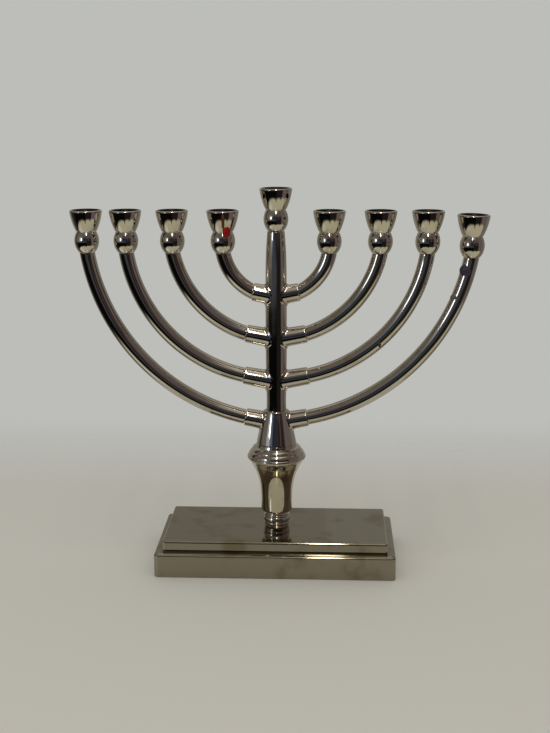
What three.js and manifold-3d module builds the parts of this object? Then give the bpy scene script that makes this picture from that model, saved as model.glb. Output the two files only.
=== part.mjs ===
// A hanukkah menorah with eight candle cups on curved arms and a raised helper cup in the middle.
// Millimetres, +Z up. The origin is the middle of the base's underside on the axis of the stem,
// X runs along the row of cups and -Y is the front.

import * as THREE from 'three';
import { mergeVertices } from 'three/addons/utils/BufferGeometryUtils.js';
import Module from 'manifold-3d';

const wasm = await Module();
wasm.setup();

// Fits that every joint shares
const clearance = 0.3; // play round pins, studs and the rod in their holes
const seatGap = 0.3; // film of solder or lacquer between a seated face and its seat
const overrun = 2; // how far a shape that cuts or joins passes the face that it works on

// Base: a hollow plinth with a flat tier on it
const plinthWidth = 136.5;
const plinthDepth = 66.5;
const plinthHeight = 13.4;
const plinthWall = 3;
const plinthRoof = 3;
const tierLedge = 4.5; // how far the plinth stands out round the tier
const tierHeight = 6.7;
const cornerRadius = 2.4; // upright corners of both blocks
const edgeRadius = 0.7; // edges of both blocks

// Column, from the base up: foot, vase, collar and hub
const footHeight = 7.6;
const footRadius = 8;
const vaseHeight = 29.5;
const vaseRadius = 8.95;
const vaseHeelHeight = 2; // rounded lower end
const vaseHeelRadius = 6.9;
const vaseMouthRadius = 14.2;
const vaseLip = 0.4;
const vaseFlarePower = 2.8; // it widens ever faster from its heel to its mouth
const collarHeight = 13.2;
const collarRadius = 16.8;
const hubHeight = 19.5;
const hubFootRadius = 11.9;
const hubWaistRadius = 9.3; // at half the hub's height
const hubTopRadius = 6.8;
const hubLip = 0.5;

// Shaft above the hub
const shaftHeight = 102.4;
const shaftRadius = 6;

// Sockets: short stubs cast on the hub and the shaft, which take the arms
const socketRiseDegrees = 10.5; // slope of a socket's axis
const hubSocketDrop = 7.65; // from the hub's top down to where its sockets' axes cross the stem's
const socketPitch = 24.55; // from one pair of sockets up to the next
const socketRootRadius = 5.5;
const socketMouthRadius = 5;
const socketLip = 0.6;
const spigotRadius = 2.7;
const spigotLength = 6;

// Arms, from the innermost pair to the outermost
const armRadius = 4.25;
const firstSocketReach = 13; // from the stem's axis to the socket's mouth
const secondSocketReach = 17;
const thirdSocketReach = 18.4;
const fourthSocketReach = 17.8;
const firstCupReach = 29.5; // from the stem's axis to the first cup's axis
const secondCupSpacing = 28.2; // from the cup before it
const thirdCupSpacing = 26;
const fourthCupSpacing = 22;
const armBulgeShares = [0.119, 0.1354, 0.15735, 0.1555]; // of the straight line from socket to cup
const outerRightSagDegrees = 1.35; // this arm has been bent down a little

// Candle cups, all alike, and the studs that hold them
const cupRise = 24.5; // from the highest pair of sockets up to where the side cups stand
const cupHeight = 23.4;
const cupFootRadius = 4.5;
const ballRadius = 6.85;
const ballMiddle = 6.8;
const neckRadius = 5.4;
const neckHeight = 11.7;
const bowlMiddleRadius = 7.55;
const bowlMiddle = 16.7;
const rimRadius = 9;
const rimLip = 0.6;
const wellMouthRadius = 6.5;
const wellFloorRadius = 4.9;
const wellDepth = 9.6;
const studRadius = 1.5;
const studReach = 5.2; // into the arm, and as far into the cup

// Rod, washer and nut that clamp the column to the base
const rodRadius = 3;
const rodIntoShaft = 12;
const rodBelowNut = 1.4;
const washerRadius = 8;
const washerThickness = 1.6;
const nutAcrossFlats = 10;
const nutHeight = 5;

// Outlines as shares of the piece's widest radius and of its height, from the bottom up
const footOutlineShares = [
  [0.86, 0], [0.91, 0.16], [0.95, 0.33], [0.99, 0.38],
  [1, 0.46], [0.975, 0.6], [0.945, 0.68],
  [0.99, 0.75], [0.97, 0.87], [0.89, 1],
];
const collarOutlineShares = [
  [0.855, 0], [0.893, 0.1], [0.94, 0.17], [0.967, 0.235],
  [0.99, 0.3], [1, 0.37], [0.99, 0.44], [0.97, 0.46],
  [0.97, 0.5], [0.94, 0.57], [0.89, 0.62], [0.86, 0.65],
  [0.875, 0.7], [0.87, 0.77], [0.84, 0.84], [0.79, 0.9], [0.71, 1],
];
const shaftOutlineShares = [
  [0.98, 0], [0.93, 0.07], [0.99, 0.3], [1, 0.55], [0.985, 0.79], [0.925, 0.9], [0.86, 0.95], [0.79, 1],
];

// Facets
const turnedSides = 20;
const cupSides = 16;
const armSides = 12;
const boreSides = 12;
const armSteps = [9, 13, 17, 21];
const bowSteps = 4;
const vaseSteps = 8;
const shaftSteps = 12;
const cornerSteps = 2;
const bevelSteps = 2;
const nutSides = 6;

// Where each pair of arms leaves its socket and carries its cup, from the innermost to the outermost
const secondCupReach = firstCupReach + secondCupSpacing;
const thirdCupReach = secondCupReach + thirdCupSpacing;
const arms = [
  { socketReach: firstSocketReach, cupReach: firstCupReach },
  { socketReach: secondSocketReach, cupReach: secondCupReach },
  { socketReach: thirdSocketReach, cupReach: thirdCupReach },
  { socketReach: fourthSocketReach, cupReach: thirdCupReach + fourthCupSpacing },
];

const socketRise = THREE.MathUtils.degToRad(socketRiseDegrees);

// Heights that follow
const ceilingHeight = plinthHeight - plinthRoof;
const footStart = plinthHeight + tierHeight;
const vaseStart = footStart + footHeight;
const collarStart = vaseStart + vaseHeight;
const hubStart = collarStart + collarHeight;
const shaftStart = hubStart + hubHeight;
const shaftTop = shaftStart + shaftHeight;
const shamashSeatHeight = shaftTop + seatGap;
const nutTop = ceilingHeight - washerThickness;
const hubSocketLevel = shaftStart - hubSocketDrop;
const highestSocketLevel = hubSocketLevel + socketPitch * (arms.length - 1);
const cupSeatHeight = highestSocketLevel + cupRise;

// Solids

function toSolid(geometry) {
  geometry.deleteAttribute('normal');
  geometry.deleteAttribute('uv');
  const merged = mergeVertices(geometry);
  return new wasm.Manifold(new wasm.Mesh({
    numProp: 3,
    vertProperties: Float32Array.from(merged.attributes.position.array),
    triVerts: Uint32Array.from(merged.index.array),
  }));
}

function toGeometry(solid) {
  const { vertProperties, triVerts } = solid.getMesh();
  const geometry = new THREE.BufferGeometry();
  geometry.setAttribute('position', new THREE.BufferAttribute(vertProperties, 3));
  geometry.setIndex(new THREE.BufferAttribute(triVerts, 1));
  geometry.computeVertexNormals();
  return geometry;
}

// A solid of revolution about Z. The outline's points are [radius, height], from the bottom up.
function turnedGeometry(outline, sides) {
  const points = outline.map(([radius, height]) => new THREE.Vector2(radius, height));
  return new THREE.LatheGeometry(points, sides).rotateX(Math.PI / 2);
}

function turned(outline, sides = turnedSides) {
  return toSolid(turnedGeometry(outline, sides));
}

// A bore or a rod along Z
function roundBar(radius, bottom, top) {
  return turned([[0, bottom], [radius, bottom], [radius, top], [0, top]], boreSides);
}

// Points on the circle through three points, from the first to the last
function bow([x0, y0], [x1, y1], [x2, y2], steps) {
  const twiceArea = 2 * (x0 * (y1 - y2) + x1 * (y2 - y0) + x2 * (y0 - y1));
  const [s0, s1, s2] = [x0 * x0 + y0 * y0, x1 * x1 + y1 * y1, x2 * x2 + y2 * y2];
  const centreX = (s0 * (y1 - y2) + s1 * (y2 - y0) + s2 * (y0 - y1)) / twiceArea;
  const centreY = (s0 * (x2 - x1) + s1 * (x0 - x2) + s2 * (x1 - x0)) / twiceArea;
  const radius = Math.hypot(x0 - centreX, y0 - centreY);
  const start = Math.atan2(y0 - centreY, x0 - centreX);
  const turn = Math.atan2(y2 - centreY, x2 - centreX) - start;
  const sweep = Math.atan2(Math.sin(turn), Math.cos(turn));
  return Array.from({ length: steps + 1 }, (_, i) => {
    const angle = start + sweep * i / steps;
    return [centreX + radius * Math.cos(angle), centreY + radius * Math.sin(angle)];
  });
}

// An outline given as shares of a radius and a height, standing on a level
function fromShares(shares, radius, height, level) {
  return shares.map(([across, up]) => [across * radius, level + up * height]);
}

// A turned piece of the column, bored through for the rod
function boredColumn(outline, bottom, top) {
  const body = turned([[0, bottom], ...outline, [0, top]]);
  return body.subtract(roundBar(rodRadius + clearance, bottom - overrun, top + overrun));
}

function roundedRectangle(width, depth, radius) {
  const x = width / 2 - radius;
  const y = depth / 2 - radius;
  return new THREE.Shape()
    .absarc(x, y, radius, 0, Math.PI / 2)
    .absarc(-x, y, radius, Math.PI / 2, Math.PI)
    .absarc(-x, -y, radius, Math.PI, Math.PI * 3 / 2)
    .absarc(x, -y, radius, Math.PI * 3 / 2, Math.PI * 2);
}

// A block with rounded corners and soft edges, centred on the axis
function softBlock(width, depth, bottom, height) {
  const outline = roundedRectangle(width - 2 * edgeRadius, depth - 2 * edgeRadius, cornerRadius - edgeRadius);
  return toSolid(new THREE.ExtrudeGeometry(outline, {
    depth: height - 2 * edgeRadius,
    bevelThickness: edgeRadius,
    bevelSize: edgeRadius,
    bevelSegments: bevelSteps,
    curveSegments: cornerSteps,
  }).translate(0, 0, bottom + edgeRadius));
}

// Base

function makePlinth() {
  const body = softBlock(plinthWidth, plinthDepth, 0, plinthHeight);
  const width = plinthWidth - 2 * plinthWall;
  const depth = plinthDepth - 2 * plinthWall;
  const hollow = toSolid(new THREE.BoxGeometry(width, depth, ceilingHeight + overrun)
    .translate(0, 0, (ceilingHeight - overrun) / 2));
  return body.subtract(hollow)
    .subtract(roundBar(rodRadius + clearance, ceilingHeight - overrun, plinthHeight + overrun));
}

function makeTier() {
  const body = softBlock(plinthWidth - 2 * tierLedge, plinthDepth - 2 * tierLedge, plinthHeight, tierHeight);
  return body.subtract(roundBar(rodRadius + clearance, plinthHeight - overrun, footStart + overrun));
}

// Column

function makeFoot() {
  return boredColumn(fromShares(footOutlineShares, footRadius, footHeight, footStart), footStart, vaseStart);
}

function makeVase() {
  const heelTop = vaseStart + vaseHeelHeight;
  const flare = Array.from({ length: vaseSteps + 1 }, (_, i) => {
    const share = i / vaseSteps;
    return [
      vaseRadius + (vaseMouthRadius - vaseRadius) * share ** vaseFlarePower,
      heelTop + (collarStart - vaseLip - heelTop) * share,
    ];
  });
  const outline = [[vaseHeelRadius, vaseStart], ...flare, [vaseMouthRadius - vaseLip, collarStart]];
  return boredColumn(outline, vaseStart, collarStart);
}

function makeCollar() {
  const outline = fromShares(collarOutlineShares, collarRadius, collarHeight, collarStart);
  return boredColumn(outline, collarStart, hubStart);
}

// Sockets

// Turns a shape that stands along Z to lie along a socket's axis, and raises it to the stem's axis
function alongSocket(geometry, level) {
  return geometry.rotateY(Math.PI / 2 - socketRise).translate(0, 0, level);
}

function socketLevel(index) {
  return highestSocketLevel - socketPitch * index;
}

// Distance along the socket's axis from the stem's axis to the socket's mouth
function mouthDistance(arm) {
  return arm.socketReach / Math.cos(socketRise);
}

function withSockets(body, indexes) {
  const pairs = indexes.flatMap((index) => [{ index, turn: 0 }, { index, turn: Math.PI }]);
  return pairs.reduce((solid, { index, turn }) => {
    const mouth = mouthDistance(arms[index]);
    const stub = turnedGeometry([
      [0, 0], [socketRootRadius, 0], [socketMouthRadius, mouth - socketLip],
      [socketMouthRadius - socketLip, mouth], [0, mouth],
    ], armSides);
    const boreRadius = spigotRadius + clearance;
    const boreFloor = mouth - spigotLength - clearance;
    const bore = turnedGeometry([
      [0, boreFloor], [boreRadius, boreFloor], [boreRadius, mouth + overrun], [0, mouth + overrun],
    ], boreSides);
    const level = socketLevel(index);
    return solid
      .add(toSolid(alongSocket(stub, level).rotateZ(turn)))
      .subtract(toSolid(alongSocket(bore, level).rotateZ(turn)));
  }, body);
}

const hubArms = [3];
const shaftArms = [0, 1, 2];

function makeHub() {
  const side = bow(
    [hubFootRadius, hubStart],
    [hubWaistRadius, hubStart + hubHeight / 2],
    [hubTopRadius, shaftStart - hubLip],
    bowSteps,
  );
  const outline = [...side, [hubTopRadius - hubLip, shaftStart]];
  const body = turned([[0, hubStart], ...outline, [0, shaftStart]]);
  const bore = roundBar(rodRadius + clearance, hubStart - overrun, shaftStart + overrun);
  return withSockets(body, hubArms).subtract(bore);
}

function makeShaft() {
  const waypoints = fromShares(shaftOutlineShares, shaftRadius, shaftHeight, shaftStart)
    .map(([radius, height]) => new THREE.Vector2(radius, height));
  const side = new THREE.SplineCurve(waypoints).getPoints(shaftSteps).map(({ x, y }) => [x, y]);
  // Its ends lie exactly on the two end faces
  side[0][1] = shaftStart;
  side[side.length - 1][1] = shaftTop;
  const body = turned([[0, shaftStart], ...side, [0, shaftTop]]);
  const rodHoleTop = shaftStart + rodIntoShaft + clearance;
  const rodHole = roundBar(rodRadius + clearance, shaftStart - overrun, rodHoleTop);
  const studHoleFloor = shamashSeatHeight - studReach - clearance;
  const studHole = roundBar(studRadius + clearance, studHoleFloor, shaftTop + overrun);
  return withSockets(body, shaftArms).subtract(rodHole).subtract(studHole);
}

// Arms

// The middle line of an arm: an arc in the XZ plane
class ArmArc extends THREE.Curve {
  constructor(centre, radius, start, end) {
    super();
    Object.assign(this, { centre, radius, start, end });
  }

  getPoint(t, target = new THREE.Vector3()) {
    const angle = this.start + (this.end - this.start) * t;
    const x = this.centre.x + this.radius * Math.cos(angle);
    return target.set(x, 0, this.centre.y + this.radius * Math.sin(angle));
  }
}

// Where an arm leaves its socket and where its cup sits, as seen from the front
function armEnds(arm, index) {
  const mouthHeight = socketLevel(index) + arm.socketReach * Math.tan(socketRise);
  const mouth = new THREE.Vector2(arm.socketReach, mouthHeight);
  const seat = new THREE.Vector2(arm.cupReach, cupSeatHeight);
  return { mouth, seat };
}

function armArc(arm, index) {
  const { mouth, seat } = armEnds(arm, index);
  const chord = seat.clone().sub(mouth);
  const bulge = armBulgeShares[index] * chord.length();
  const radius = bulge / 2 + chord.lengthSq() / (8 * bulge);
  const inward = new THREE.Vector2(-chord.y, chord.x).normalize();
  const centre = mouth.clone().add(seat).divideScalar(2).addScaledVector(inward, radius - bulge);
  const start = mouth.clone().sub(centre);
  const end = seat.clone().sub(centre);
  const extra = overrun / radius;
  const startAngle = Math.atan2(start.y, start.x) - extra;
  const endAngle = Math.atan2(end.y, end.x) + extra;
  return new ArmArc(centre, radius, startAngle, endAngle);
}

// The arm with its spigot in the socket and the tapped hole for its cup's stud, in the row's frame
function makeArm(arm, index) {
  const section = new THREE.Shape().absarc(0, 0, armRadius, 0, Math.PI * 2);
  const rod = toSolid(new THREE.ExtrudeGeometry(section, {
    extrudePath: armArc(arm, index),
    steps: armSteps[index],
    curveSegments: armSides / 2,
  }));
  const level = socketLevel(index);
  const mouth = mouthDistance(arm);
  const span = 4 * armRadius;
  const insideSocket = alongSocket(
    new THREE.BoxGeometry(span, span, span).translate(0, 0, mouth + seatGap - span / 2),
    level,
  );
  const aboveSeat = new THREE.BoxGeometry(span, span, span)
    .translate(arm.cupReach, 0, cupSeatHeight - seatGap + span / 2);
  const spigot = alongSocket(turnedGeometry([
    [0, mouth - spigotLength], [spigotRadius, mouth - spigotLength],
    [spigotRadius, mouth + overrun], [0, mouth + overrun],
  ], boreSides), level);
  const holeTop = cupSeatHeight + overrun;
  const holeFloor = cupSeatHeight - studReach - clearance;
  const hole = turnedGeometry([
    [0, holeFloor], [studRadius + clearance, holeFloor], [studRadius + clearance, holeTop], [0, holeTop],
  ], boreSides).translate(arm.cupReach, 0, 0);
  return rod.subtract(toSolid(insideSocket))
    .subtract(toSolid(aboveSeat))
    .add(toSolid(spigot))
    .subtract(toSolid(hole));
}

// Cups

// A cup on its ball, standing on its own seat, with the candle's well above and the stud's hole below
function makeCup() {
  const holeRadius = studRadius + clearance;
  const ball = bow([cupFootRadius, 0], [ballRadius, ballMiddle], [neckRadius, neckHeight], bowSteps);
  const bowl = bow(
    [neckRadius + rimLip / 2, neckHeight + rimLip / 2],
    [bowlMiddleRadius, bowlMiddle],
    [rimRadius, cupHeight - rimLip],
    bowSteps,
  );
  return turned([
    [0, studReach + clearance], [holeRadius, studReach + clearance], [holeRadius, 0],
    ...ball,
    ...bowl,
    [rimRadius - rimLip, cupHeight],
    [wellMouthRadius, cupHeight],
    [wellFloorRadius, cupHeight - wellDepth],
    [0, cupHeight - wellDepth],
  ], cupSides);
}

function makeStud() {
  return roundBar(studRadius, -studReach, studReach);
}

// Clamp under the base

function makeRod() {
  return roundBar(rodRadius, nutTop - nutHeight - rodBelowNut, shaftStart + rodIntoShaft);
}

function makeWasher() {
  const disc = turned([
    [0, nutTop], [washerRadius, nutTop], [washerRadius, ceilingHeight], [0, ceilingHeight],
  ]);
  return disc.subtract(roundBar(rodRadius + clearance, nutTop - overrun, ceilingHeight + overrun));
}

function makeNut() {
  const corner = nutAcrossFlats / 2 / Math.cos(Math.PI / nutSides);
  const hexagon = new THREE.Shape(Array.from({ length: nutSides }, (_, i) => {
    const angle = 2 * Math.PI / nutSides * i;
    return new THREE.Vector2(corner * Math.cos(angle), corner * Math.sin(angle));
  }));
  const body = toSolid(new THREE.ExtrudeGeometry(hexagon, { depth: nutHeight, bevelEnabled: false })
    .translate(0, 0, nutTop - nutHeight));
  return body.subtract(roundBar(rodRadius + clearance, nutTop - nutHeight - overrun, nutTop + overrun));
}

// Finishes

const polishedNickel = { color: 0xb8afa0, roughness: 0.06, metalness: 1 };
const satinNickel = { color: 0x8f8676, roughness: 0.34, metalness: 1 };
const plainSteel = { color: 0x8b8d90, roughness: 0.45, metalness: 1 };

function piece(name, solid, finish) {
  const mesh = new THREE.Mesh(toGeometry(solid), new THREE.MeshStandardMaterial(finish));
  mesh.name = name;
  return mesh;
}

// Assembly

const menorah = new THREE.Group();
menorah.add(
  piece('base_plinth', makePlinth(), satinNickel),
  piece('base_tier', makeTier(), satinNickel),
  piece('foot_ring', makeFoot(), polishedNickel),
  piece('vase_column', makeVase(), polishedNickel),
  piece('knop_collar', makeCollar(), polishedNickel),
  piece('cone_hub', makeHub(), polishedNickel),
  piece('main_shaft', makeShaft(), polishedNickel),
  piece('tie_rod', makeRod(), plainSteel),
  piece('clamp_washer', makeWasher(), plainSteel),
  piece('clamp_nut', makeNut(), plainSteel),
);

const cupSolid = makeCup();
const studSolid = makeStud();

// A cup and its stud, added to what carries them
function addCup(carrier, label, x, z) {
  const cup = piece(`cup_${label}`, cupSolid, polishedNickel);
  const stud = piece(`stud_${label}`, studSolid, plainSteel);
  for (const mesh of [cup, stud]) {
    mesh.position.set(x, 0, z);
    carrier.add(mesh);
  }
}

addCup(menorah, 'shamash', 0, shamashSeatHeight);

// One side's four arms. Each arm hangs in its own group at its socket's mouth, where it can have bent.
function addSide(side, turn, sags) {
  const carrier = new THREE.Group();
  carrier.rotation.z = turn;
  arms.forEach((arm, index) => {
    const { mouth } = armEnds(arm, index);
    const bent = new THREE.Group();
    bent.position.set(mouth.x, 0, mouth.y);
    bent.rotation.y = sags[index];
    const label = `${side}_${index + 1}`;
    const mesh = piece(`arm_${label}`, makeArm(arm, index), polishedNickel);
    mesh.position.set(-mouth.x, 0, -mouth.y);
    bent.add(mesh);
    addCup(bent, label, arm.cupReach - mouth.x, cupSeatHeight - mouth.y);
    carrier.add(bent);
  });
  menorah.add(carrier);
}

const straight = arms.map(() => 0);
addSide('left', Math.PI, straight);
addSide('right', 0, [...straight.slice(0, -1), THREE.MathUtils.degToRad(outerRightSagDegrees)]);

export default menorah;
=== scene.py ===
"""A polished nickel hanukkah menorah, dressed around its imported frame.

The part's own sizes are written in millimetres and turned to metres by MM where a mesh is made.
+Z is up, X runs along the row of cups and -Y is the front, as in the frame.
"""

import logging
import math
from dataclasses import dataclass
from enum import Enum

import bmesh
import bpy
from mathutils import Matrix, Vector


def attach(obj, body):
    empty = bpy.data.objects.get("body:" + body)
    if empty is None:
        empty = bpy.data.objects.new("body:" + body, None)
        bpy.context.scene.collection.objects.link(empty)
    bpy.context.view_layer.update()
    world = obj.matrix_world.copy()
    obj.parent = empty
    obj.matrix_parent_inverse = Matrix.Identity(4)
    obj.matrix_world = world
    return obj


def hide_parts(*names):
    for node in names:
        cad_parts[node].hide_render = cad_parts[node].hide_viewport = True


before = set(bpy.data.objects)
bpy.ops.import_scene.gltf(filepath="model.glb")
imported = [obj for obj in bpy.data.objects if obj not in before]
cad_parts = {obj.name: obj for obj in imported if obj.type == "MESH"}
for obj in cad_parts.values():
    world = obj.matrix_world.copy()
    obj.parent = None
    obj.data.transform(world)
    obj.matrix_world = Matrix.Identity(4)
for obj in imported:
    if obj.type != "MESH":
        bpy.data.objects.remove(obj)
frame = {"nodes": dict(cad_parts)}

MM = 0.001
# Points nearer than this count as one.
TOUCH = 0.001 * MM
UP = Vector((0, 0, 1))
BODY = "root"
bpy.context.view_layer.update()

log = logging.getLogger("menorah")


class Slot(Enum):
    """The record's material slots."""

    POLISHED = "polished_nickel"
    SATIN = "satin_nickel"


class Side(Enum):
    """The two halves of the row of cups, with the turn about Z that makes each from the right one."""

    RIGHT = ("right", 0.0)
    LEFT = ("left", math.pi)

    @property
    def label(self) -> str:
        """The side's name in node names."""
        return self.value[0]

    @property
    def turn(self) -> Matrix:
        """The turn about the stem that carries the right side onto this one."""
        return Matrix.Rotation(self.value[1], 4, "Z")


# Colours and nodes


def linear(hex_colour: str) -> tuple[float, float, float, float]:
    """Turns an sRGB hex colour to the linear values that shaders take.

    Args:
        hex_colour: Six hex digits.

    Returns:
        Red, green, blue and a full alpha.
    """
    channels = [int(hex_colour[i:i + 2], 16) / 255 for i in (0, 2, 4)]
    red, green, blue = (c / 12.92 if c <= 0.04045 else ((c + 0.055) / 1.055) ** 2.4 for c in channels)
    return red, green, blue, 1.0


def add_node(
    tree: bpy.types.NodeTree, kind: str, inputs: dict | None = None, **settings: str
) -> bpy.types.Node:
    """Adds a node, sets its properties and fills or links its inputs.

    Args:
        tree: The node tree that gets the node.
        kind: The node's type name without ShaderNode.
        inputs: Input name or index to a value, or to the output socket that feeds it.
        **settings: Properties of the node itself.

    Returns:
        The new node.
    """
    node = tree.nodes.new(f"ShaderNode{kind}")
    for name, value in settings.items():
        setattr(node, name, value)
    for name, value in (inputs or {}).items():
        if isinstance(value, bpy.types.NodeSocket):
            tree.links.new(value, node.inputs[name])
        else:
            node.inputs[name].default_value = value
    return node


def soft_mask(tree: bpy.types.NodeTree, steps: list[tuple]) -> bpy.types.NodeSocket:
    """Multiplies soft steps into one mask.

    Args:
        tree: The node tree.
        steps: Each step's value socket, the bound where it is 0 and the bound where it is 1.

    Returns:
        The mask.
    """
    mask = None
    for value, none_at, all_at in steps:
        step = add_node(tree, "MapRange", {
            "Value": value, "From Min": none_at, "From Max": all_at,
        }, interpolation_type="SMOOTHSTEP").outputs["Result"]
        if mask is not None:
            step = add_node(tree, "Math", {0: mask, 1: step}, operation="MULTIPLY").outputs[0]
        mask = step
    return mask


def blank_material(name: str) -> tuple[bpy.types.Material, bpy.types.NodeTree]:
    """Makes a material with an empty node tree.

    Args:
        name: The material's name.

    Returns:
        The material and its tree.
    """
    material = bpy.data.materials.new(name)
    material.use_nodes = True
    material.node_tree.nodes.clear()
    return material, material.node_tree


# Finishes


@dataclass(frozen=True)
class MetalFinish:
    """A metal surface: its reflected colour, its haze, and the slow waves and fine grain of its face.

    Lengths are in millimetres. A wave's depth is given apart from its length, because together they
    set how far a reflection wanders. A span is the part of a noise's range that its effect grows over.
    """

    name: str
    colour: str
    dull_colour: str
    dull_share: float
    dull_length: float
    roughness: tuple[float, float]
    haze_length: float
    wave_length: float
    wave_depth: float
    grain_length: float
    grain_depth: float
    dull_span: tuple[float, float] = (0.5, 0.72)
    haze_span: tuple[float, float] = (0.35, 0.7)

    def build(self) -> bpy.types.Material:
        """Builds the material.

        Returns:
            The metal's material, which reads Object coordinates.
        """
        material, tree = blank_material(self.name)
        place = add_node(tree, "TexCoord").outputs["Object"]
        dull, haze, wave, grain = (
            add_node(tree, "TexNoise", {
                "Vector": place, "Scale": 1 / (length * MM), "Detail": detail, "Roughness": 0.5,
            }).outputs["Fac"]
            for length, detail in (
                (self.dull_length, 3.0), (self.haze_length, 4.0),
                (self.wave_length, 1.0), (self.grain_length, 2.0),
            )
        )
        dull_mask = add_node(tree, "MapRange", {
            "Value": dull, "From Min": self.dull_span[0], "From Max": self.dull_span[1],
            "To Max": self.dull_share,
        }, interpolation_type="SMOOTHSTEP")
        colour = add_node(tree, "Mix", {
            "Factor": dull_mask.outputs["Result"], "A": linear(self.colour), "B": linear(self.dull_colour),
        }, data_type="RGBA")
        roughness = add_node(tree, "MapRange", {
            "Value": haze, "From Min": self.haze_span[0], "From Max": self.haze_span[1],
            "To Min": self.roughness[0], "To Max": self.roughness[1],
        })
        waves = add_node(tree, "Bump", {"Height": wave, "Distance": self.wave_depth * MM, "Strength": 1.0})
        grained = add_node(tree, "Bump", {
            "Height": grain, "Distance": self.grain_depth * MM, "Strength": 1.0,
            "Normal": waves.outputs["Normal"],
        })
        shader = add_node(tree, "BsdfPrincipled", {
            "Base Color": colour.outputs["Result"], "Metallic": 1.0,
            "Roughness": roughness.outputs["Result"], "Normal": grained.outputs["Normal"],
        })
        add_node(tree, "OutputMaterial", {"Surface": shader.outputs["BSDF"]})
        return material


# Bright nickel plate over buffed brass: a warm mirror, hazed here and there by handling, whose
# reflections wander a little where the buffing wheel left the face uneven.
POLISHED_NICKEL = MetalFinish(
    name="polished nickel plate", colour="d2cbbd", dull_colour="b9ab90", dull_share=0.55, dull_length=9.0,
    roughness=(0.03, 0.085), haze_length=14.0, wave_length=11.0, wave_depth=0.035,
    grain_length=1.3, grain_depth=0.0007,
)

# The vase, where hands and polish have thinned the plate and the brass warms it.
WORN_NICKEL = MetalFinish(
    name="thin nickel plate over brass", colour="cdc3a9", dull_colour="a3906c", dull_share=0.5,
    dull_length=7.0, roughness=(0.03, 0.09), haze_length=12.0, wave_length=10.0, wave_depth=0.04,
    grain_length=1.3, grain_depth=0.0008,
)

# The same plate on the rolled base plates, rubbed dull and yellowed by years of wiping: it still
# mirrors the foot of the column, but softly, and in grey-brown.
SATIN_NICKEL = MetalFinish(
    name="rubbed nickel plate", colour="9f9885", dull_colour="857b63", dull_share=0.85, dull_length=17.0,
    roughness=(0.035, 0.09), haze_length=21.0, wave_length=34.0, wave_depth=0.05,
    grain_length=0.9, grain_depth=0.0012,
)

# The inside of the wells, painted a dark brown-grey: painted shade for the deep wells, together with soot
# and old wax that dull the plate.
SOOT_AND_SHADE_NICKEL = MetalFinish(
    name="well lining with soot and painted shade", colour="332d28", dull_colour="12100e", dull_share=1.0, dull_length=3.0,
    roughness=(0.28, 0.5), haze_length=2.5, wave_length=4.0, wave_depth=0.03,
    grain_length=0.8, grain_depth=0.004,
)

# Bare turned steel of the screws, the rod and its nut: grey, with a soft sheen from the lathe.
TURNED_STEEL = MetalFinish(
    name="turned steel", colour="8b8d90", dull_colour="6d665e", dull_share=0.8, dull_length=4.0,
    roughness=(0.3, 0.45), haze_length=3.0, wave_length=6.0, wave_depth=0.01,
    grain_length=0.5, grain_depth=0.002,
)


@dataclass(frozen=True)
class WaxFinish:
    """Candle wax that has run and set: a clear dye in a soft, slightly cloudy body. Lengths are in mm."""

    name: str
    colour: str
    thin_colour: str
    lump_length: float = 1.6
    lump_depth: float = 0.1
    glow_depth: float = 0.6

    def build(self) -> bpy.types.Material:
        """Builds the material.

        Returns:
            The wax's material, which reads Object coordinates.
        """
        material, tree = blank_material(self.name)
        place = add_node(tree, "TexCoord").outputs["Object"]
        lumps = add_node(tree, "TexNoise", {
            "Vector": place, "Scale": 1 / (self.lump_length * MM), "Detail": 2.0,
        }).outputs["Fac"]
        colour = add_node(tree, "Mix", {
            "Factor": lumps, "A": linear(self.colour), "B": linear(self.thin_colour),
        }, data_type="RGBA")
        bump = add_node(tree, "Bump", {"Height": lumps, "Distance": self.lump_depth * MM, "Strength": 1.0})
        shader = add_node(tree, "BsdfPrincipled", {
            "Base Color": colour.outputs["Result"], "Roughness": 0.4, "IOR": 1.44, "Specular IOR Level": 0.3,
            "Subsurface Weight": 0.25, "Subsurface Scale": self.glow_depth * MM,
            "Normal": bump.outputs["Normal"],
        })
        add_node(tree, "OutputMaterial", {"Surface": shader.outputs["BSDF"]})
        return material


RED_WAX = WaxFinish(name="red candle wax", colour="7a0201", thin_colour="a30c06")
BROWN_WAX = WaxFinish(name="brown candle wax", colour="3c2413", thin_colour="6b431f")
PURPLE_WAX = WaxFinish(name="purple candle wax", colour="2e2330", thin_colour="4c4355")
CLEAR_WAX = WaxFinish(name="pale candle wax", colour="4f4c46", thin_colour="6b6860")


# Turned outlines


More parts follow.
